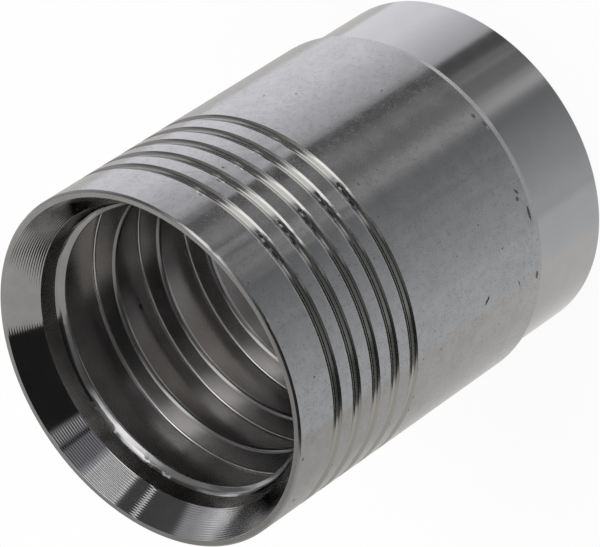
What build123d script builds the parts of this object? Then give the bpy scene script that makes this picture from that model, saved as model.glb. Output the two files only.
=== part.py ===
from build123d import *

import os
from math import radians, tan

# Crimp ferrule for a one-inch hydraulic hose, turned from steel bar in one piece.
# It stands on its collar end: z = 0 is the collar's end face and the hose's mouth is on top.
# All lengths are in millimetres and all angles in degrees.

# Overall
total_length = 61.5
wall_thickness = 2.6  # from the bottom of a grip groove to the outside of the body
edge_break = 0.25  # 45 degree break on both outer edges

# Grip ribs and grooves inside, counted from the mouth
rib_count = 5
rib_pitch = 8.5
rib_height = 2.7
rib_bore_diameter = 37.4  # inside the ribs, over the hose's outer layer
rib_crest_length = 0.8
rib_flank_angle = 6.0  # how far each side of a rib leans from square
groove_root_chamfer = 0.35

# Mouth
rim_width = 0.65
chamfer_angle = 33.0  # from the axis
throat_length = 2.0
throat_angle = 16.0  # from the axis
lead_in_height = 0.6  # 45 degree lead onto the first rib
first_rib_relief = 0.7  # the first rib stands this much lower than the others

# Collar, which locks on the fitting's shoulder
collar_length = 13.85  # from the end face to the outer shoulder's upper edge
shoulder_step = 0.8
shoulder_angle = 30.0  # from the axis
collar_bore_diameter = 32.0
collar_bore_chamfer = 0.5

# Rings round the outside, near the mouth
ring_count = 5
ring_pitch = 3.7
ring_width = 1.5
ring_floor_width = 0.6
ring_depth = 0.5
first_ring_from_mouth = 7.2  # to the middle of the first ring

# Radii that follow
crest_radius = rib_bore_diameter / 2
root_radius = crest_radius + rib_height
body_radius = root_radius + wall_thickness
collar_radius = body_radius - shoulder_step
bore_radius = collar_bore_diameter / 2
first_crest_radius = crest_radius + first_rib_relief
seat_radius = first_crest_radius + lead_in_height
throat_radius = seat_radius + throat_length * tan(radians(throat_angle))
mouth_radius = body_radius - edge_break - rim_width

# Heights that follow
chamfer_foot = total_length - (mouth_radius - throat_radius) / tan(radians(chamfer_angle))
seat_height = chamfer_foot - throat_length
first_crest_top = seat_height - lead_in_height
first_groove_top = first_crest_top - rib_crest_length
groove_opening = rib_pitch - rib_crest_length
lock_height = first_groove_top - (rib_count - 1) * rib_pitch - groove_opening
shoulder_foot = collar_length - shoulder_step / tan(radians(shoulder_angle))


def flank_lean(radius):
    """How far a rib's side has moved along the axis at this radius, out from its crest."""
    return (radius - crest_radius) * tan(radians(rib_flank_angle))


def groove_outline(top, top_radius):
    """Corners of one grip groove, from its lower rib up to the rib above it."""
    bottom = top - groove_opening
    lean = flank_lean(root_radius)
    corner_radius = root_radius - groove_root_chamfer
    corner_lean = flank_lean(corner_radius)
    return [
        (crest_radius, bottom),
        (corner_radius, bottom + corner_lean),
        (root_radius, bottom + lean + groove_root_chamfer),
        (root_radius, top - lean - groove_root_chamfer),
        (corner_radius, top - corner_lean),
        (top_radius, top - flank_lean(top_radius)),
    ]


def bore_outline():
    """Half section of everything that is hollow, from the collar's end up to the mouth."""
    outline = [
        (0, 0),
        (bore_radius + collar_bore_chamfer, 0),
        (bore_radius, collar_bore_chamfer),
        (bore_radius, lock_height - collar_bore_chamfer),
        (bore_radius + collar_bore_chamfer, lock_height),
    ]
    for groove in reversed(range(rib_count)):
        top_radius = first_crest_radius if groove == 0 else crest_radius
        outline += groove_outline(first_groove_top - groove * rib_pitch, top_radius)
    return outline + [
        (first_crest_radius, first_crest_top),
        (seat_radius, seat_height),
        (throat_radius, chamfer_foot),
        (mouth_radius, total_length),
        (0, total_length),
    ]


def outer_outline():
    """Half section of the turned blank, collar below and body above."""
    return [
        (0, 0),
        (collar_radius - edge_break, 0),
        (collar_radius, edge_break),
        (collar_radius, shoulder_foot),
        (body_radius, collar_length),
        (body_radius, total_length - edge_break),
        (body_radius - edge_break, total_length),
        (0, total_length),
    ]


def turned(outline):
    """The solid that a half section sweeps about the axis."""
    with BuildPart() as solid:
        with BuildSketch(Plane.XZ):
            with BuildLine():
                Polyline(*outline, close=True)
            make_face()
        revolve(axis=Axis.Z)
    return solid.part


def ring_outline(middle):
    """Half section of one ring groove, as wide as the form tool that cuts it."""
    floor = body_radius - ring_depth
    return [
        (floor, middle - ring_floor_width / 2),
        (body_radius, middle - ring_width / 2),
        (body_radius, middle + ring_width / 2),
        (floor, middle + ring_floor_width / 2),
    ]


ferrule = turned(outer_outline()) - turned(bore_outline())
for ring in range(ring_count):
    ferrule -= turned(ring_outline(total_length - first_ring_from_mouth - ring * ring_pitch))
ferrule.label = "ferrule"

os.makedirs("parts", exist_ok=True)
export_step(ferrule, "parts/ferrule.step")
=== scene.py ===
import math
import random

import bpy
from mathutils import Matrix, Vector


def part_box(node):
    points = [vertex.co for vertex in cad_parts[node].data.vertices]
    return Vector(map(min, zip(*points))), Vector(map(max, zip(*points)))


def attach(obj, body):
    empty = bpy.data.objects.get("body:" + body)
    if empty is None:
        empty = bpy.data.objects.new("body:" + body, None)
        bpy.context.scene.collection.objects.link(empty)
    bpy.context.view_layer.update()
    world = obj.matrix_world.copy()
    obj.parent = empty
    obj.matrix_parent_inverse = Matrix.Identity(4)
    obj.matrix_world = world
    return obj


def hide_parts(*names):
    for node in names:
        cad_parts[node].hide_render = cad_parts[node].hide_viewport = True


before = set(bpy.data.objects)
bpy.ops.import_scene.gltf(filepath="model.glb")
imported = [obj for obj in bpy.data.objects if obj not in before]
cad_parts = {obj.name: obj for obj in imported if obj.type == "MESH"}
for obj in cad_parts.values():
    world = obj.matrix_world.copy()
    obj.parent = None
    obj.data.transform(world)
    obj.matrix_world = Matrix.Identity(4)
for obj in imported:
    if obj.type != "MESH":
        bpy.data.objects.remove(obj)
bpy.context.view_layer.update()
node_low, node_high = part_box("ferrule")

# A crimp hose ferrule, turned from steel bar. It stands on its collar end, mouth up.
# Its own sizes are in millimetres and degrees.
MM = 0.001
total_length = (node_high.z - node_low.z) / MM
body_radius = node_high.x / MM
edge_break = 0.25
edge_rounding = 0.06  # of every edge that has no rounding of its own

# Grip ribs and grooves inside, counted from the mouth
rib_count = 5
rib_pitch = 8.5
rib_height = 3.15
crest_radius = 18.25
rib_crest_length = 0.8
rib_flank_angle = 6.0  # lean of the ribs' undersides
wall_lean = 4.5  # of the ribs' walls towards the mouth, which wear has left squarer
wall_drop = 0.1  # and lower than their undersides' mirror image
crest_bevel = 0.33  # depth of the bevel on each rib's edge towards the mouth
crest_bevel_length = 0.26
crest_rounding = 0.08
rib_edge_rounding = 0.1
root_rounding = 0.4
lock_edge_rounding = 0.12  # where the last groove's wall ends at the collar's bore

# Mouth, with the angles from the axis
rim_width = 0.65
chamfer_angle = 33.0
chamfer_ridges = 14
ridge_depth = 0.015
throat_length = 2.0
throat_angle = 16.0
throat_rounding = 0.05
lead_in_height = 0.6
nose_drops = (0.30, 0.18, 0.34)  # heights of the lead-in's three bevels
nose_angles = (38.0, 47.0, 57.0)
nose_bevel_rounding = 0.06
nose_rounding = 0.15  # where the bevels end on the first rib's crest
nose_land = 0.2  # length of that crest
first_rib_relief = 1.15

# Collar and shoulder
collar_length = 13.85
shoulder_step = 0.8
shoulder_angle = 30.0
shoulder_foot_rounding = 0.25
shoulder_edge_rounding = 0.12
collar_bore_radius = 16.0
collar_bore_chamfer = 0.5

# Rings round the outside, near the mouth
ring_count = 5
ring_pitch = 3.7
first_ring_from_mouth = 7.2
ring_foot = 0.82  # from a ring's middle down to its lower lip
ring_head = 0.82  # and up to its upper one
ring_facets = ((58.0, 0.15), (42.0, 0.07), (2.0, 0.50), (35.0, 0.10), (20.0, 0.05))  # lean, length
ring_foot_rounding = 0.05
ring_facet_rounding = 0.03
ring_facet_turn = 20.0  # two facets that differ by more than this have a rounding between them
ring_root_rounding = 0.08
ring_lip_rounding = 0.3

# The mesh's fineness, and its wear
segments = 300  # round the axis
arc_step = 24.0  # degrees of an edge's rounding to a face
side_share = 0.45  # the most of a side that one edge's rounding takes
ridge_steps = 4  # faces to a ridge of the chamfer
wear_seed = 11

# Radii and heights that follow
root_radius = crest_radius + rib_height
collar_radius = body_radius - shoulder_step
first_crest_radius = crest_radius + first_rib_relief
seat_radius = first_crest_radius + lead_in_height
throat_radius = seat_radius + throat_length * math.tan(math.radians(throat_angle))
mouth_radius = body_radius - edge_break - rim_width
chamfer_foot = total_length - (mouth_radius - throat_radius) / math.tan(math.radians(chamfer_angle))
seat_height = chamfer_foot - throat_length
first_crest_top = seat_height - lead_in_height
first_groove_top = first_crest_top - rib_crest_length
nose_radius = seat_radius - sum(drop * math.tan(math.radians(angle))
                                for drop, angle in zip(nose_drops, nose_angles))
nose_height = seat_height - sum(nose_drops)
groove_opening = rib_pitch - rib_crest_length
lock_height = first_groove_top - (rib_count - 1) * rib_pitch - groove_opening
shoulder_foot = collar_length - shoulder_step / math.tan(math.radians(shoulder_angle))

ZONES = ("collar", "shoulder", "body", "ring", "edge", "rim", "chamfer", "throat", "lead_in",
         "nose", "crest", "flank", "groove", "bore")

# Burrs and nicks on the worn edges: azimuths from and to, share of the places that are hit,
# and the least and most that such a place stands out, in millimetres.
WEAR = {
    "lip": [(-60, -50, 0.45, -0.10, 0.07), (-84, -75, 0.5, -0.08, 0.03), (-180, 180, 0.03, -0.06, 0.02)],
    "facet": [(-84, -75, 0.6, -0.08, 0.06)],
    "shoulder": [(-180, 180, 0.12, -0.05, 0.02)],
    "rim": [(-74, -72, 1.0, -0.12, -0.08), (-101.5, -99, 1.0, -0.09, -0.05), (-180, 180, 0.04, -0.05, 0)],
    "seat": [(90.5, 94, 0.7, -0.03, 0.10), (99.5, 103, 0.7, -0.03, 0.10), (115, 118, 0.7, -0.03, 0.10),
             (128, 131, 0.7, -0.03, 0.10), (-180, 180, 0.04, -0.03, 0.03)],
}


def flank_lean(radius):
    """How far a rib's underside has moved along the axis at this radius, out from its crest."""
    return (radius - crest_radius) * math.tan(math.radians(rib_flank_angle))


def edge_at(radius, height, rounding, zone, wear=""):
    """One corner of the half section, the zone that starts there and how the edge is worn."""
    return radius, height, rounding, zone, wear


def ring_corners(middle):
    """One ring in the body's wall, from its lower lip to its upper one. The side that faces
    the mouth is hollow."""
    radius, height = body_radius, middle - ring_foot
    corners = [edge_at(radius, height, ring_foot_rounding, "ring")]
    leans = [lean for lean, _ in ring_facets]
    for index, (lean, length) in enumerate(ring_facets):
        radius -= length * math.tan(math.radians(lean))
        height += length
        if index == len(ring_facets) - 1:
            rounding = ring_root_rounding
        elif abs(leans[index + 1] - lean) > ring_facet_turn:
            rounding = ring_facet_rounding
        else:
            rounding = 0
        corners.append(edge_at(radius, height, rounding, "ring", "facet"))
    return corners + [edge_at(body_radius, middle + ring_head, ring_lip_rounding, "body", "lip")]


def chamfer_corners():
    """The mouth's chamfer, where the tool's feed left shallow hollows with ridges between them."""
    angle = math.radians(chamfer_angle)
    drop = total_length - chamfer_foot
    places = chamfer_ridges * ridge_steps
    corners = []
    for place in range(1, places):
        share = place / places
        across = place % ridge_steps / ridge_steps
        depth = ridge_depth * 4 * across * (1 - across)
        radius = mouth_radius + (throat_radius - mouth_radius) * share
        corners.append(edge_at(radius + depth * math.cos(angle),
                               total_length - drop * share - depth * math.sin(angle), 0, "chamfer"))
    return corners


def lead_in_corners():
    """The lead-in's bevels, from the throat's foot to the first rib's crest."""
    radius, height = seat_radius, seat_height
    corners = []
    for bevel, (drop, angle) in enumerate(zip(nose_drops, nose_angles)):
        zone = "nose" if bevel else "lead_in"
        corners.append(edge_at(radius, height, nose_bevel_rounding, zone, "seat"))
        radius -= drop * math.tan(math.radians(angle))
        height -= drop
    return corners + [edge_at(radius, height, nose_rounding, "nose")]


def groove_corners(groove):
    """One rib's underside, the grip groove below it and the next rib's crest."""
    top = first_groove_top - groove * rib_pitch
    bottom = top - groove_opening
    wall = bottom - wall_drop
    slope = math.tan(math.radians(wall_lean))
    upper_edge = (nose_radius, nose_height - nose_land) if groove == 0 else (crest_radius, top)
    corners = [
        edge_at(*upper_edge, rib_edge_rounding, "flank"),
        edge_at(root_radius, top - flank_lean(root_radius), root_rounding, "groove"),
        edge_at(root_radius, wall + rib_height * slope, root_rounding, "flank"),
    ]
    if groove == rib_count - 1:
        return corners + [edge_at(crest_radius, bottom, lock_edge_rounding, "bore")]
    bevel_top = wall + crest_bevel * slope
    return corners + [
        edge_at(crest_radius + crest_bevel, bevel_top, rib_edge_rounding, "crest"),
        edge_at(crest_radius, bevel_top - crest_bevel_length, crest_rounding, "crest"),
    ]


def profile_corners():
    """Corners of the half section, up the outside and down the inside."""
    corners = [
        edge_at(collar_radius - edge_break, 0, edge_rounding, "edge"),
        edge_at(collar_radius, edge_break, edge_rounding, "collar"),
        edge_at(collar_radius, shoulder_foot, shoulder_foot_rounding, "shoulder"),
        edge_at(body_radius, collar_length, shoulder_edge_rounding, "body", "shoulder"),
    ]
    for ring in reversed(range(ring_count)):
        corners += ring_corners(total_length - first_ring_from_mouth - ring * ring_pitch)
    corners += [
        edge_at(body_radius, total_length - edge_break, edge_rounding, "edge", "rim"),
        edge_at(body_radius - edge_break, total_length, edge_rounding, "rim"),
        edge_at(mouth_radius, total_length, edge_rounding, "chamfer"),
    ]
    corners += chamfer_corners()
    corners.append(edge_at(throat_radius, chamfer_foot, throat_rounding, "throat"))
    corners += lead_in_corners()
    for groove in range(rib_count):
        corners += groove_corners(groove)
    return corners + [
        edge_at(collar_bore_radius + collar_bore_chamfer, lock_height, edge_rounding, "bore"),
        edge_at(collar_bore_radius, lock_height - collar_bore_chamfer, edge_rounding, "bore"),
        edge_at(collar_bore_radius, collar_bore_chamfer, edge_rounding, "bore"),
        edge_at(collar_bore_radius + collar_bore_chamfer, 0, edge_rounding, "rim"),
    ]


def worn(wear, chance):
    """How far out of true one edge is at each place round it, in millimetres."""
    offsets = [0.0] * segments
    for start, end, share, least, most in WEAR.get(wear, ()):
        for turn in range(segments):
            azimuth = (360 * turn / segments + 180) % 360 - 180
            if start <= azimuth <= end and chance.random() < share:
                offsets[turn] = chance.uniform(least, most)
    return offsets


def rounded(before, corner, after, rounding):
    """Points of an arc tangent to both sides of a corner, no longer than the sides allow."""
    to_before, to_after = (before - corner), (after - corner)
    turn = math.pi - to_before.angle(to_after)
    reach = min(rounding * math.tan(turn / 2), side_share * to_before.length, side_share * to_after.length)
    radius = reach / math.tan(turn / 2)
    middle = (to_before.normalized() + to_after.normalized()).normalized()
    centre = corner + middle * (radius / math.cos(turn / 2))
    start = corner + to_before.normalized() * reach - centre
    end = corner + to_after.normalized() * reach - centre
    steps = max(2, math.ceil(math.degrees(turn) / arc_step))
    return [centre + start.slerp(end, step / steps) * radius for step in range(steps + 1)]


def profile():
    """The half section's points in order, the zone of the stretch after each, and its wear."""
    corners = profile_corners()
    chance = random.Random(wear_seed)
    points, zones, offsets = [], [], []
    for index, (radius, height, rounding, zone, wear) in enumerate(corners):
        corner = Vector((radius, height))
        before = Vector(corners[index - 1][:2])
        after = Vector(corners[(index + 1) % len(corners)][:2])
        made = rounded(before, corner, after, rounding) if rounding else [corner]
        points += made
        zones += [zone] * len(made)
        offsets += [worn(wear, chance)] * len(made)
    return points, zones, offsets


def new_object(name, data):
    """An object of this data, in the scene."""
    made = bpy.data.objects.new(name, data)
    bpy.context.scene.collection.objects.link(made)
    return made


def build_ferrule():
    """The whole ferrule as one closed mesh, its half section turned about the axis."""
    points, zones, offsets = profile()
    vertices = []
    for (section_radius, height), edge_offsets in zip(points, offsets):
        for turn, offset in enumerate(edge_offsets):
            angle = 2 * math.pi * turn / segments
            radius = section_radius + offset
            vertices.append((radius * math.cos(angle) * MM, radius * math.sin(angle) * MM, height * MM))
    faces, slots = [], []
    for row in range(len(points)):
        above = (row + 1) % len(points)
        for turn in range(segments):
            beside = (turn + 1) % segments
            faces.append((row * segments + turn, row * segments + beside,
                          above * segments + beside, above * segments + turn))
        slots += [ZONES.index(zones[row])] * segments
    mesh = bpy.data.meshes.new("ferrule_turned")
    mesh.from_pydata(vertices, [], faces)
    mesh.polygons.foreach_set("material_index", slots)
    mesh.polygons.foreach_set("use_smooth", [True] * len(faces))
    mesh.update()
    piece = new_object("ferrule_turned", mesh)
    smoothing = piece.modifiers.new("flat_walls_stay_flat", "WEIGHTED_NORMAL")
    smoothing.keep_sharp = False
    return piece


class Nodes:
    """Short calls for building one material's node tree."""

    # A Mix node's sockets for its factor, its two colours and their result
    MIX_INPUTS = (0, 6, 7)
    MIX_RESULT = 2

    def __init__(self, tree):
        self.tree = tree
        tree.nodes.clear()

    def add(self, kind, inputs=(), **settings):
        """One node, its settings, and its inputs: values are set and sockets are linked."""
        node = self.tree.nodes.new(kind)
        for name, value in settings.items():
            setattr(node, name, value)
        for name, value in dict(inputs).items():
            if isinstance(value, bpy.types.NodeSocket):
                self.tree.links.new(value, node.inputs[name])
            else:
                node.inputs[name].default_value = value
        return node

    def math(self, operation, first, second=0.0, clamp=False):
        """A sum, product or the like of two values."""
        node = self.add("ShaderNodeMath", {0: first, 1: second}, operation=operation, use_clamp=clamp)
        return node.outputs[0]

    def remap(self, value, low, high, out_low=0.0, out_high=1.0, smooth=False):
        """The value moved from one range to another, and held at that range's ends."""
        kind = "SMOOTHSTEP" if smooth else "LINEAR"
        node = self.add("ShaderNodeMapRange", {"Value": value, "From Min": low, "From Max": high,
                                               "To Min": out_low, "To Max": out_high},
                        interpolation_type=kind)
        return node.outputs["Result"]

    def mix(self, factor, first, second):
        """From the first colour to the second."""
        inputs = dict(zip(self.MIX_INPUTS, (factor, first, second)))
        return self.add("ShaderNodeMix", inputs, data_type="RGBA").outputs[self.MIX_RESULT]

    def noise(self, vector, scale, detail, roughness):
        """Noise from 0 to 1, mostly near the middle."""
        node = self.add("ShaderNodeTexNoise", {"Vector": vector, "Scale": scale, "Detail": detail,
                                               "Roughness": roughness})
        return node.outputs["Fac"]

    def stretched(self, vector, scale):
        """A place in units of its own along each axis."""
        return self.add("ShaderNodeMapping", {"Vector": vector, "Scale": scale}).outputs["Vector"]

    def parts(self, vector):
        """A place's or colour's three numbers."""
        return self.add("ShaderNodeSeparateXYZ", {"Vector": vector}).outputs


def new_material(name):
    """A material, and calls that build its node tree from nothing."""
    material = bpy.data.materials.new(name)
    material.use_nodes = True
    return material, Nodes(material.node_tree)


def colour(tint, share=1.0):
    """A tint, or a share of it, as a node's colour."""
    return (*(part * share for part in tint), 1.0)


WHITE = (1.0, 1.0, 1.0)

# The steel's noises: cells per millimetre, detail and roughness
TOOL_MARKS = (1.0, 3.0, 0.6)
TOOL_MARK_STRETCH = (0.25, 0.25, 14)  # drawn out round the axis
GRAIN = (7.0, 3.0, 0.6)
PATCHES = (0.35, 3.0, 0.55)
STROKE_LINES = (2.2, 2.0, 0.6)
STROKE_PATCHES = (1.1, 2.0, 0.5)
RAGGED = (5.0, 2.0, 0.5)
SLOW_WAVES = (0.4, 2.0, 0.5)
NOISE_MIDDLE = 0.5

# Where in a noise a detail begins and where it is whole
PIT_GRAIN = (0.60, 0.72)
BLOTCH_PATCH = (0.35, 0.65)
POLISH_PATCH = (0.3, 0.7)
SCUFF_PATCH = (0.45, 0.6)
STROKE_PATCH = (0.44, 0.56)
STROKE_WIDTH = 0.03  # to each side of a noise's middle
MARK_EDGE = (1.7, 1.2)  # distance from a mark's middle plus noise

# Scattered dots: cells per millimetre, radius in cells, and share of the cells that have one
BODY_DOTS = (0.5, 0.09, 0.4)
SCUFF_DOTS = (1.7, 0.32, 0.5)
DOT_CORE = 0.5  # share of the radius that is fully dark
BODY_DOT_DARKNESS = 2.0  # times the strokes'
SCUFF_DARKNESS = 0.45
SCUFF_REACH = 2.5  # millimetres up the body from the shoulder

# Pits and painted dark reflections, painted highlights on burrs, polish and relief
# The pits' shade also colours the painted dark reflections on the rings.
PIT_AND_DARK_REFLECTION_SHADE = 0.2  # share of the steel's colour that is left
PIT_ROUGHNESS = 0.5
PIT_RELIEF = -0.6
# Painted highlights on burrs are this share of white.
BURR_HIGHLIGHT_SHADE = 0.95
POLISH_SPREAD = 0.1  # share by which the roughness varies
RELIEF_DEPTH = 0.01  # millimetres
RELIEF_STRENGTH = 0.5
QUARTER_TURN = 0.25  # from the tangent round the axis

# Marks painted on a wall: azimuth in degrees, height, half length and half width in millimetres,
# tilt in degrees, and strength. First the nicks and scuffs on the body.
BODY_MARKS = [
    (-131.9, 24.7, 0.62, 0.17, -45, 0.95), (-133.5, 18.2, 0.50, 0.12, 20, 0.5),
    (-80.5, 14.9, 0.35, 0.25, 0, 0.5), (-84.5, 14.3, 0.50, 0.20, 0, 0.6),
    (-106.5, 15.3, 0.45, 0.20, 30, 0.6), (-108.5, 15.6, 0.30, 0.25, 0, 0.6),
    (-114.5, 14.4, 1.00, 0.22, 0, 0.7), (-135.0, 14.5, 0.60, 0.25, 0, 0.6),
    (-142.7, 60.7, 0.25, 0.20, 0, 0.6), (-161.8, 59.6, 0.30, 0.20, 0, 0.8),
    (-155.9, 53.5, 0.25, 0.18, 0, 0.8), (-160.7, 53.5, 0.30, 0.15, 0, 0.7),
    (-155.6, 42.3, 0.25, 0.15, 0, 0.7), (-149.7, 38.6, 0.20, 0.15, 0, 0.7),
    (-155.2, 38.6, 0.20, 0.15, 0, 0.7), (-54.4, 55.4, 0.30, 0.10, 0, 0.7),
    (-53.6, 51.7, 0.30, 0.10, 0, 0.7), (-50.5, 49.2, 0.25, 0.16, 0, 0.6),
]
# Painted highlights on burrs, mostly on the rings' upper lips
BODY_BURR_HIGHLIGHTS = [
    (-55.3, 55.15, 0.16, 0.13, 0, 1.0), (-53.0, 55.15, 0.20, 0.14, 0, 1.0),
    (-55.0, 51.45, 0.18, 0.13, 0, 1.0), (-52.6, 51.45, 0.16, 0.12, 0, 0.9),
    (-54.6, 47.75, 0.20, 0.14, 0, 1.0), (-52.4, 47.75, 0.14, 0.12, 0, 0.8),
    (-54.0, 44.05, 0.16, 0.12, 0, 0.9), (-51.8, 44.05, 0.18, 0.13, 0, 1.0),
    (-85.8, 14.2, 0.30, 0.16, 0, 0.9), (-97.0, 61.2, 0.25, 0.12, 0, 0.8),
]
# Painted dark reflections where the rings' floors are chipped
RING_CHIP_DARK_REFLECTIONS = [
    (-82.6, 54.25, 0.75, 0.23, 0, 1.0), (-78.8, 54.15, 0.80, 0.25, 0, 1.0),
    (-75.8, 54.05, 0.45, 0.26, 0, 1.0), (-81.8, 50.55, 0.80, 0.24, 0, 1.0),
    (-78.0, 50.45, 0.75, 0.26, 0, 1.0), (-75.4, 50.35, 0.40, 0.24, 0, 1.0),
    (-82.4, 46.85, 0.60, 0.23, 0, 1.0), (-79.0, 46.80, 0.95, 0.25, 0, 1.0),
    (-75.6, 46.65, 0.40, 0.26, 0, 1.0), (-81.4, 43.15, 0.90, 0.24, 0, 1.0),
    (-77.4, 43.05, 0.70, 0.26, 0, 1.0), (-82.0, 39.45, 0.70, 0.23, 0, 1.0),
    (-78.4, 39.35, 0.80, 0.25, 0, 1.0), (-75.6, 39.25, 0.40, 0.25, 0, 1.0),
]
# Painted bright glints in those chipped places
RING_CHIP_GLINTS = [
    (-80.8, 54.45, 0.40, 0.07, 0, 1.0), (-77.2, 54.20, 0.30, 0.07, 0, 1.0),
    (-79.8, 50.72, 0.40, 0.07, 0, 1.0), (-76.6, 50.50, 0.30, 0.07, 0, 1.0),
    (-81.2, 47.02, 0.40, 0.07, 0, 1.0), (-77.2, 46.80, 0.30, 0.07, 0, 1.0),
    (-79.6, 43.30, 0.40, 0.07, 0, 1.0), (-76.2, 43.10, 0.30, 0.07, 0, 1.0),
    (-80.4, 39.60, 0.40, 0.07, 0, 1.0), (-76.8, 39.40, 0.30, 0.07, 0, 1.0),
]
# Painted highlights on the ragged burrs where the throat ends on the lead-in
THROAT_BURR_HIGHLIGHTS = [
    (96.0, 55.80, 0.35, 0.22, 0, 1.0), (99.5, 55.78, 0.45, 0.20, 0, 1.0),
    (101.5, 55.85, 0.30, 0.25, 0, 0.9), (112.5, 55.80, 0.40, 0.20, 0, 0.9),
    (128.0, 55.82, 0.45, 0.24, 0, 1.0), (130.4, 55.80, 0.35, 0.22, 0, 1.0),
]
# One dark spot in a grip groove
GROOVE_MARKS = [(70.2, 40.3, 0.40, 0.22, 0, 0.7)]


def placed_marks_and_painted_light(n, millimetres, radius, marks_and_painted_light):
    """How strong the marks, painted dark reflections or painted highlights are at each place of a wall of
    this radius.
    """
    place = n.parts(millimetres)
    arc = n.math("MULTIPLY", n.math("ARCTAN2", place[1], place[0]), radius)
    wall = n.add("ShaderNodeCombineXYZ", {0: arc, 1: place[2]}).outputs[0]
    ragged = n.noise(millimetres, *RAGGED)
    total = 0.0
    for azimuth, height, reach, width, tilt, strength in marks_and_painted_light:
        local = n.add("ShaderNodeMapping", {
            "Vector": wall, "Location": (math.radians(azimuth) * radius, height, 0),
            "Rotation": (0, 0, math.radians(tilt)), "Scale": (reach, width, 1)}, vector_type="TEXTURE")
        away = n.add("ShaderNodeVectorMath", {0: local.outputs[0]}, operation="LENGTH").outputs["Value"]
        inside = n.remap(n.math("ADD", away, ragged), *MARK_EDGE, 0.0, strength)
        total = n.math("MAXIMUM", total, inside)
    return total


def dots(n, millimetres, per_millimetre, size, share):
    """Scattered round dots, in this share of the cells of a grid."""
    cells = n.add("ShaderNodeTexVoronoi", {"Vector": millimetres, "Scale": per_millimetre}).outputs
    chosen = n.parts(cells["Color"])[0]
    dot = n.remap(cells["Distance"], size, size * DOT_CORE)
    return n.math("MULTIPLY", dot, n.math("LESS_THAN", chosen, share))


def strokes(n, millimetres, darkness):
    """Short wandering strokes, in patches."""
    from_middle = n.math("SUBTRACT", n.noise(millimetres, *STROKE_LINES), NOISE_MIDDLE)
    lines = n.remap(n.math("ABSOLUTE", from_middle), 0.0, STROKE_WIDTH, darkness, 0.0)
    return n.math("MULTIPLY", lines, n.remap(n.noise(millimetres, *STROKE_PATCHES), *STROKE_PATCH))


def shoulder_scuffs(n, millimetres, patches):
    """Dark rubs on the wall just above the shoulder."""
    foot = n.remap(n.parts(millimetres)[2], collar_length, collar_length + SCUFF_REACH, 1.0, 0.0)
    scuffs = n.math("MULTIPLY", dots(n, millimetres, *SCUFF_DOTS), n.math("MULTIPLY", foot, SCUFF_DARKNESS))
    return n.math("MULTIPLY", scuffs, n.remap(patches, *SCUFF_PATCH))


def steel(name, base, roughness, anisotropy, turning=0.2, speckle=0.0, blotch=0.1, mottle=0.0,
          waves=0.0, radius=0.0, marks_and_painted_light=(), burr_highlights=()):
    """Turned steel: fine tool marks round the axis, pits, dots and strokes, and uneven polish.
    turning and waves are the heights of its relief, and speckle, blotch and mottle how dark its pits,
    patches and strokes are. Its marks, its painted dark reflections and its painted highlights on burrs lie
    on a wall of this radius."""
    material, n = new_material(name)
    place = n.add("ShaderNodeTexCoord").outputs["Object"]
    millimetres = n.stretched(place, (1 / MM, 1 / MM, 1 / MM))
    along = n.noise(n.stretched(millimetres, TOOL_MARK_STRETCH), *TOOL_MARKS)
    grain = n.noise(millimetres, *GRAIN)
    patches = n.noise(millimetres, *PATCHES)
    shade = n.mix(n.remap(patches, *BLOTCH_PATCH), colour(base, 1 - blotch), colour(base))
    pits_and_painted_dark = n.remap(grain, *PIT_GRAIN, 0.0, speckle)
    if mottle:
        pits_and_painted_dark = n.math("MAXIMUM", pits_and_painted_dark, strokes(n, millimetres, mottle))
        pits_and_painted_dark = n.math("MAXIMUM", pits_and_painted_dark, n.math("MULTIPLY", dots(n, millimetres, *BODY_DOTS),
                                              mottle * BODY_DOT_DARKNESS))
    if marks_and_painted_light:
        pits_and_painted_dark = n.math("MAXIMUM", pits_and_painted_dark, shoulder_scuffs(n, millimetres, patches))
        pits_and_painted_dark = n.math("MAXIMUM", pits_and_painted_dark, placed_marks_and_painted_light(n, millimetres, radius, marks_and_painted_light))
    # Pits and marks darken the colour; on the rings this is painted dark reflection.
    shade = n.mix(pits_and_painted_dark, shade, colour(base, PIT_AND_DARK_REFLECTION_SHADE))
    # Painted highlights on burrs turn the colour nearly white.
    if burr_highlights:
        shade = n.mix(placed_marks_and_painted_light(n, millimetres, radius, burr_highlights), shade, colour(WHITE, BURR_HIGHLIGHT_SHADE))
    polish = n.remap(patches, *POLISH_PATCH,
                     roughness * (1 - POLISH_SPREAD), roughness * (1 + POLISH_SPREAD))
    rough = n.math("ADD", polish, n.math("MULTIPLY", pits_and_painted_dark, PIT_ROUGHNESS))
    height = n.math("ADD", n.math("MULTIPLY", along, turning), n.math("MULTIPLY", pits_and_painted_dark, PIT_RELIEF))
    bump = n.add("ShaderNodeBump", {"Height": height, "Strength": RELIEF_STRENGTH,
                                    "Distance": RELIEF_DEPTH * MM})
    if waves:
        wavy = n.add("ShaderNodeBump", {"Height": n.noise(millimetres, *SLOW_WAVES), "Strength": 1.0,
                                        "Distance": waves * MM})
        n.tree.links.new(wavy.outputs[0], bump.inputs["Normal"])
    tangent = n.add("ShaderNodeTangent", direction_type="RADIAL", axis="Z")
    shader = n.add("ShaderNodeBsdfPrincipled", {
        "Base Color": shade, "Metallic": 1.0, "Roughness": rough, "Anisotropic": anisotropy,
        "Anisotropic Rotation": QUARTER_TURN, "Tangent": tangent.outputs[0], "Normal": bump.outputs[0]})
    n.add("ShaderNodeOutputMaterial", {"Surface": shader.outputs[0]})
    return material


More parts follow.
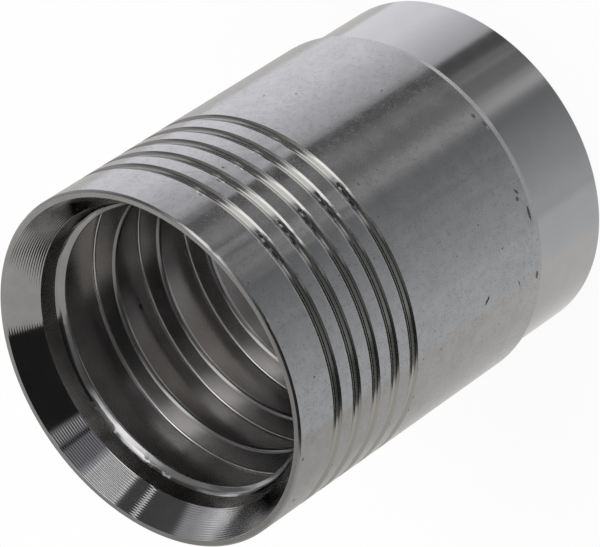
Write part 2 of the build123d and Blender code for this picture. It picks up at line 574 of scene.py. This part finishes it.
def steels():
    """One material for each zone of the ferrule."""
    plain = (0.60, 0.60, 0.61)
    return {
        "collar": steel("collar_steel", (0.585, 0.585, 0.595), roughness=0.13, anisotropy=0.6,
                        turning=0.05, speckle=0.05, blotch=0.04),
        "shoulder": steel("shoulder_steel", plain, roughness=0.28, anisotropy=0.5, speckle=0.2),
        "body": steel("body_steel", (0.57, 0.57, 0.58), roughness=0.16, anisotropy=0.65,
                      turning=0.16, speckle=0.42, mottle=0.3,
                      radius=body_radius, marks_and_painted_light=BODY_MARKS, burr_highlights=BODY_BURR_HIGHLIGHTS),
        # The rings carry painted dark reflections and painted glints in their chipped places.
        "ring": steel("ring_steel", (0.61, 0.60, 0.58), roughness=0.16, anisotropy=0.3,
                      turning=0.02, blotch=0.04,
                      radius=body_radius, marks_and_painted_light=RING_CHIP_DARK_REFLECTIONS, burr_highlights=RING_CHIP_GLINTS),
        "edge": steel("edge_steel", plain, roughness=0.22, anisotropy=0.3),
        "rim": steel("rim_steel", (0.46, 0.46, 0.455), roughness=0.26, anisotropy=0.3, speckle=0.3),
        "chamfer": steel("chamfer_steel", (0.64, 0.64, 0.65), roughness=0.07, anisotropy=0.3,
                         turning=0.02),
        "throat": steel("throat_steel", (0.74, 0.72, 0.70), roughness=0.16, anisotropy=0.3,
                        turning=0.01, radius=seat_radius, burr_highlights=THROAT_BURR_HIGHLIGHTS),
        "lead_in": steel("lead_in_steel", (0.54, 0.54, 0.545), roughness=0.10, anisotropy=0.3,
                         turning=0.01),
        "nose": steel("nose_steel", plain, roughness=0.14, anisotropy=0.3, turning=0.01),
        # The ribs' crest bevels are painted darker, which dims their highlights: painted shade.
        "crest": steel("crest_steel_painted_shade", (0.42, 0.42, 0.42), roughness=0.2, anisotropy=0.3,
                       turning=0.01),
        # The ribs' walls are painted paler than the rest of the steel: a painted highlight.
        "flank": steel("flank_steel_painted_highlight", (0.83, 0.815, 0.81), roughness=0.19, anisotropy=0.4,
                       turning=0.02, waves=0.008),
        # The grooves' floors are painted darker than the rest of the steel: painted shade in these deep
        # hollows.
        "groove": steel("groove_steel_painted_shade", (0.34, 0.33, 0.325), roughness=0.24, anisotropy=0.3,
                        turning=0.02, waves=0.012, radius=root_radius, marks_and_painted_light=GROOVE_MARKS),
        "bore": steel("bore_steel", (0.64, 0.61, 0.61), roughness=0.22, anisotropy=0.4,
                      turning=0.02),
    }


CARD_DISTANCE = 2.0  # metres from the ferrule
CARD_GAP = 0.02  # each later card stands this much nearer
CARD_STEP = 5.0  # degrees, at most, between a card's points
WARM = (1.0, 0.975, 0.94)
COOL = (0.97, 0.99, 1.0)
LILAC = (0.975, 0.965, 1.0)
VIOLET = (0.88, 0.86, 1.0)

# Boards far round the ferrule, seen only in its reflections: name, azimuths from and to,
# elevations from and to, shade at each azimuth, softness of the sides in degrees, and tint.
CARDS = [
    ("surround", -180, 180, -90, 90, 0.32, 0.32, 1, WHITE),
    ("below", -180, 180, -90, -56, 0.55, 0.55, 6, WHITE),
    ("below_front", -165, -75, -90, -54, 0.62, 0.45, 6, WHITE),
    ("below_right", -75, 12, -90, -54, 0.6, 1.1, 6, WHITE),
    ("back_wall", 3, 46, -33, 32, 0.33, 0.38, 6, LILAC),
    ("back_rise", 3, 46, 25, 38, 0.13, 0.13, 4, WHITE),
    ("back_top", 3, 46, 38, 70, 0.20, 0.26, 6, WHITE),
    ("right_gap", -36, 4, -33, 38, 0.06, 0.08, 6, WHITE),
    ("right_top", -36, 4, 38, 80, 0.18, 0.20, 6, WHITE),
    ("right_sheen", -23, -21, -12, 48, 0.9, 0.9, 1.5, WHITE),
    ("front_wall", -185, -90, -33, 56, 0.014, 0.016, 6, WHITE),
    ("front_top", -185, -104, 57, 82, 0.19, 0.03, 6, WHITE),
    ("front_rise", -96, -58, 48, 68, 0.02, 0.36, 5, WHITE),
    ("front_high", -108, -58, 69, 84, 0.2, 1.4, 6, WHITE),
    ("front_edge", -90, -58, -18, 26, 0.36, 0.32, 3, VIOLET),
    ("front_foot", -92, -58, -35, -17, 0.02, 0.02, 3, WHITE),
    ("front_flash", -89, -83, -8, 27, 0.6, 0.5, 2, WHITE),
    ("front_line", -81, -78, -12, 50, 0.01, 0.01, 2, WHITE),
    ("front_shadow", -90, -58, 28, 36, 0.01, 0.02, 3, WHITE),
    ("front_glow", -90, -58, 36, 50, 0.14, 0.18, 4, WHITE),
    ("overhead_strip", -58, -38, -31, 6, 0.9, 0.9, 3, WHITE),
    ("overhead_panel", -58, -36, 4, 50, 1.15, 1.15, 3, WHITE),
    ("overhead_gap", -58, -36, 21, 34, 0.12, 0.12, 3, WHITE),
    ("overhead_high", -61, -31, 34, 60, 0.75, 1.8, 5, WHITE),
    ("overhead_box", -60, -25, 57, 80, 1.4, 1.2, 6, WHITE),
    ("overhead_side", -25, -4, 55, 82, 0.9, 0.4, 6, WHITE),
    ("low_left", -200, -147, -56, -32, 0.62, 0.55, 6, COOL),
    ("low_front", -147, -78, -56, -28, 0.50, 0.17, 10, COOL),
    ("low_bar", -74, -66, -60, -43, 0.62, 0.50, 5, WHITE),
    ("low_dim", -62, -49, -58, -36, 0.22, 0.16, 3, WHITE),
    ("low_glow", -48, -41, -58, -36, 0.20, 0.18, 3, WHITE),
    ("low_dark", -41, -28, -82, -34, 0.09, 0.07, 2, WHITE),
    ("low_right", -28, 12, -58, -33, 0.52, 0.97, 4, LILAC),
    ("low_back", 10, 52, -58, -33, 0.97, 0.95, 4, LILAC),
]

# The sheet that the ferrule lies on in the photograph, seen only in its reflections. It all but
# touches the body's wall on this azimuth, and its front edge runs along the axis. In millimetres.
SHEET_AZIMUTH = 135.0
SHEET_CLEARANCE = 0.3
SHEET_BACK, SHEET_FRONT = -300.0, 47.0
SHEET_FOOT, SHEET_TOP = -300.0, 240.0
SHEET_SOFTNESS = 5.0
SHEET_NOTCH_HEIGHTS = (83, 91)  # between them the front edge steps back
SHEET_NOTCH_FRONT = 17
SHEET_SLANT_TOP = 150  # and from there to this height it slants back
SHEET_SLANT = -40

# The sheet's shade, which falls with height, and two paler places on it
SHEET_SHADES = (0.62, 0.39)
SHEET_SHADE_HEIGHTS = (-20, 75)
NEAR_GLOW = 0.2  # along the line where it touches the body
NEAR_GLOW_WIDTHS = (6, 26)  # to each side of that line
NEAR_GLOW_HEIGHTS = (30, 60)
FAR_GLOW = 0.20  # behind that line, towards the mouth
FAR_GLOW_PLACES = (-10, -50)
FAR_GLOW_HEIGHTS = (45, 62)


def toward(azimuth, elevation):
    """Unit vector from the ferrule towards this azimuth and elevation, in degrees."""
    a, e = math.radians(azimuth), math.radians(elevation)
    return Vector((math.cos(a) * math.cos(e), math.sin(a) * math.cos(e), math.sin(e)))


def mapped_mesh(name, vertices, faces, places, unit):
    """A mesh whose UV map says where on it each vertex is, in this unit."""
    mesh = bpy.data.meshes.new(name)
    mesh.from_pydata(vertices, [], faces)
    layer = mesh.uv_layers.new(name=unit)
    for loop in mesh.loops:
        layer.data[loop.index].uv = places[loop.vertex_index]
    return mesh


def hide_but_in_reflections(board_object):
    """Only glossy rays see it."""
    for ray in ("camera", "diffuse", "shadow", "transmission", "volume_scatter"):
        setattr(board_object, "visible_" + ray, False)


def glowing_paper(material, n, tint, shade, cover):
    """Finishes a board's material: a glow of this tint and shade where cover is 1, else clear."""
    paper = n.add("ShaderNodeEmission", {"Color": colour(tint), "Strength": shade})
    clear = n.add("ShaderNodeBsdfTransparent")
    both = n.add("ShaderNodeMixShader", {0: cover, 1: clear.outputs[0], 2: paper.outputs[0]})
    n.add("ShaderNodeOutputMaterial", {"Surface": both.outputs[0]})
    material.cycles.emission_sampling = "NONE"
    return material


def card_paper(name, width, height, shades, softness, tint):
    """Shade across the board, fading out at its sides."""
    material, n = new_material(name)
    place = n.parts(n.add("ShaderNodeUVMap", uv_map="degrees").outputs[0])
    fade = []
    for along, size in ((place[0], width), (place[1], height)):
        inset = n.math("MINIMUM", along, n.math("SUBTRACT", size, along))
        fade.append(n.remap(inset, -softness / 2, softness / 2, smooth=True))
    shade = n.remap(place[0], 0, width, *shades)
    return glowing_paper(material, n, tint, shade, n.math("MULTIPLY", *fade))


def board(name, azimuths, elevations, shades, softness, tint, distance):
    """A curved board of even or graded shade that only reflections see."""
    margin = softness / 2
    width, height = azimuths[1] - azimuths[0], elevations[1] - elevations[0]
    columns = max(1, math.ceil((width + softness) / CARD_STEP))
    rows = max(1, math.ceil((height + softness) / CARD_STEP))
    vertices, places = [], []
    for row in range(rows + 1):
        v = -margin + (height + softness) * row / rows
        elevation = max(-90.0, min(90.0, elevations[0] + v))
        for column in range(columns + 1):
            u = -margin + (width + softness) * column / columns
            vertices.append(toward(azimuths[0] + u, elevation) * distance)
            places.append((u, v))
    faces = [(r * (columns + 1) + c, r * (columns + 1) + c + 1,
              (r + 1) * (columns + 1) + c + 1, (r + 1) * (columns + 1) + c)
             for r in range(rows) for c in range(columns)]
    card = new_object(name, mapped_mesh(name, vertices, faces, places, "degrees"))
    card.data.materials.append(card_paper(name, width, height, shades, softness, tint))
    hide_but_in_reflections(card)


def build_cards():
    for index, (name, west, east, low, high, shade_west, shade_east, softness, tint) in enumerate(CARDS):
        board("card_" + name, (west, east), (low, high), (shade_west, shade_east), softness, tint,
              CARD_DISTANCE - index * CARD_GAP)


def sheet_paper():
    """The sheet's shade and paler places, with its front corner cut away above the mouth."""
    material, n = new_material("card_sheet")
    across, up, _ = n.parts(n.add("ShaderNodeUVMap", uv_map="millimetres").outputs[0])
    notch = n.remap(up, *SHEET_NOTCH_HEIGHTS, SHEET_FRONT, SHEET_NOTCH_FRONT)
    slant = n.remap(up, SHEET_NOTCH_HEIGHTS[1], SHEET_SLANT_TOP, 0, SHEET_SLANT)
    inset = n.math("SUBTRACT", n.math("ADD", notch, slant), across)
    cover = n.remap(inset, -SHEET_SOFTNESS / 2, SHEET_SOFTNESS / 2, smooth=True)
    near = n.remap(n.math("ABSOLUTE", across), *NEAR_GLOW_WIDTHS, NEAR_GLOW, 0.0, smooth=True)
    near = n.math("MULTIPLY", near, n.remap(up, *NEAR_GLOW_HEIGHTS, 1.0, 0.0, smooth=True))
    far = n.math("MULTIPLY", n.remap(across, *FAR_GLOW_PLACES, 0.0, FAR_GLOW),
                 n.remap(up, *FAR_GLOW_HEIGHTS, 0.0, 1.0))
    shade = n.math("ADD", n.remap(up, *SHEET_SHADE_HEIGHTS, *SHEET_SHADES), n.math("ADD", near, far))
    return glowing_paper(material, n, WARM, shade, cover)


def build_sheet():
    """The pale sheet against the ferrule's side."""
    away = toward(SHEET_AZIMUTH, 0)
    front = toward(SHEET_AZIMUTH + 90, 0)
    place = away * (body_radius + SHEET_CLEARANCE)
    corners = [(across, up) for across in (SHEET_BACK, SHEET_FRONT + SHEET_SOFTNESS)
               for up in (SHEET_FOOT, SHEET_TOP)]
    vertices = [(place + front * across + Vector((0, 0, up))) * MM for across, up in corners]
    mesh = mapped_mesh("card_sheet", vertices, [(0, 2, 3, 1)], corners, "millimetres")
    sheet = new_object("card_sheet", mesh)
    mesh.materials.append(sheet_paper())
    hide_but_in_reflections(sheet)


FLOOR_REACH = 6.0  # metres each way
FLOOR_SHADE = 0.95
FLOOR_SEEN_WHITE = 0.92  # share of plain white in what the camera sees of the floor
WORLD_LIGHT = 0.75

# The lamp, in metres, degrees and watts
KEY_SIZE = (0.9, 0.6)
KEY_AZIMUTH, KEY_ELEVATION = -30.0, 62.0
KEY_DISTANCE = 1.3
KEY_POWER = 5.0

# The camera, in millimetres and degrees, and the clipping in metres
CAMERA_PLACE = (0.0, -463.72, 433.04)
CAMERA_AIM = (-0.48, 15.99, 18.51)
CAMERA_ROLL = -123.59
CAMERA_SENSOR = 36.0
CAMERA_LENS = 293.69
CAMERA_CLIP = (0.05, 20.0)


def seen_rays(n):
    """1 for what the camera sees, straight on or in metal or glass."""
    rays = n.add("ShaderNodeLightPath").outputs
    seen = n.math("ADD", rays["Is Camera Ray"], rays["Is Glossy Ray"])
    return n.math("ADD", seen, rays["Is Transmission Ray"], clamp=True)


def build_floor():
    """A plain white floor that keeps the ferrule's soft shadow. Glossy rays pass through it,
    because in the photograph the ferrule doesn't stand on its collar."""
    mesh = bpy.data.meshes.new("floor")
    mesh.from_pydata([(-FLOOR_REACH, -FLOOR_REACH, 0), (FLOOR_REACH, -FLOOR_REACH, 0),
                      (FLOOR_REACH, FLOOR_REACH, 0), (-FLOOR_REACH, FLOOR_REACH, 0)],
                     [], [(0, 1, 2, 3)])
    floor = new_object("floor", mesh)
    material, n = new_material("floor_paint")
    paint = n.add("ShaderNodeBsdfDiffuse", {"Color": colour(WHITE, FLOOR_SHADE)})
    white = n.add("ShaderNodeEmission", {"Color": colour(WHITE), "Strength": 1.0})
    part = n.math("MULTIPLY", seen_rays(n), FLOOR_SEEN_WHITE)
    both = n.add("ShaderNodeMixShader", {0: part, 1: paint.outputs[0], 2: white.outputs[0]})
    n.add("ShaderNodeOutputMaterial", {"Surface": both.outputs[0]})
    material.cycles.emission_sampling = "NONE"
    mesh.materials.append(material)
    floor.visible_glossy = False


def build_world():
    """Plain even light, and plain white wherever the camera, metal or glass sees past the boards."""
    world = bpy.data.worlds.new("studio")
    bpy.context.scene.world = world
    world.use_nodes = True
    n = Nodes(world.node_tree)
    seen = seen_rays(n)
    light = n.add("ShaderNodeBackground", {"Color": colour(WHITE), "Strength": WORLD_LIGHT})
    white = n.add("ShaderNodeBackground", {"Color": colour(WHITE), "Strength": 1.0})
    both = n.add("ShaderNodeMixShader", {0: seen, 1: light.outputs[0], 2: white.outputs[0]})
    n.add("ShaderNodeOutputWorld", {"Surface": both.outputs[0]})


def build_key_lamp():
    """A large soft lamp high on the right."""
    data = bpy.data.lights.new("key", "AREA")
    data.shape = "RECTANGLE"
    data.size, data.size_y = KEY_SIZE
    data.energy = KEY_POWER
    lamp = new_object("key", data)
    direction = toward(KEY_AZIMUTH, KEY_ELEVATION)
    lamp.location = direction * KEY_DISTANCE
    lamp.rotation_mode = "QUATERNION"
    lamp.rotation_quaternion = direction.to_track_quat("Z", "Y")
    lamp.visible_glossy = False


def build_camera():
    """The photograph's view: 41 degrees down on the mouth, with the camera rolled on its side."""
    aim = Vector(CAMERA_AIM) * MM
    place = Vector(CAMERA_PLACE) * MM
    roll = math.radians(CAMERA_ROLL)
    forward = (aim - place).normalized()
    level_right = forward.cross(Vector((0, 0, 1))).normalized()
    level_up = level_right.cross(forward)
    right = level_right * math.cos(roll) + level_up * math.sin(roll)
    up = right.cross(forward)
    data = bpy.data.cameras.new("camera")
    data.sensor_width = CAMERA_SENSOR
    data.lens = CAMERA_LENS
    data.clip_start, data.clip_end = CAMERA_CLIP
    camera = new_object("camera", data)
    camera.matrix_world = Matrix((
        (right.x, up.x, -forward.x, place.x),
        (right.y, up.y, -forward.y, place.y),
        (right.z, up.z, -forward.z, place.z),
        (0, 0, 0, 1)))
    bpy.context.scene.camera = camera


ferrule = build_ferrule()
finishes = steels()
for zone in ZONES:
    ferrule.data.materials.append(finishes[zone])
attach(ferrule, "root")
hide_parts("ferrule")

build_cards()
build_sheet()
build_floor()
build_world()
build_key_lamp()
build_camera()
bpy.context.scene.view_settings.view_transform = "Standard"
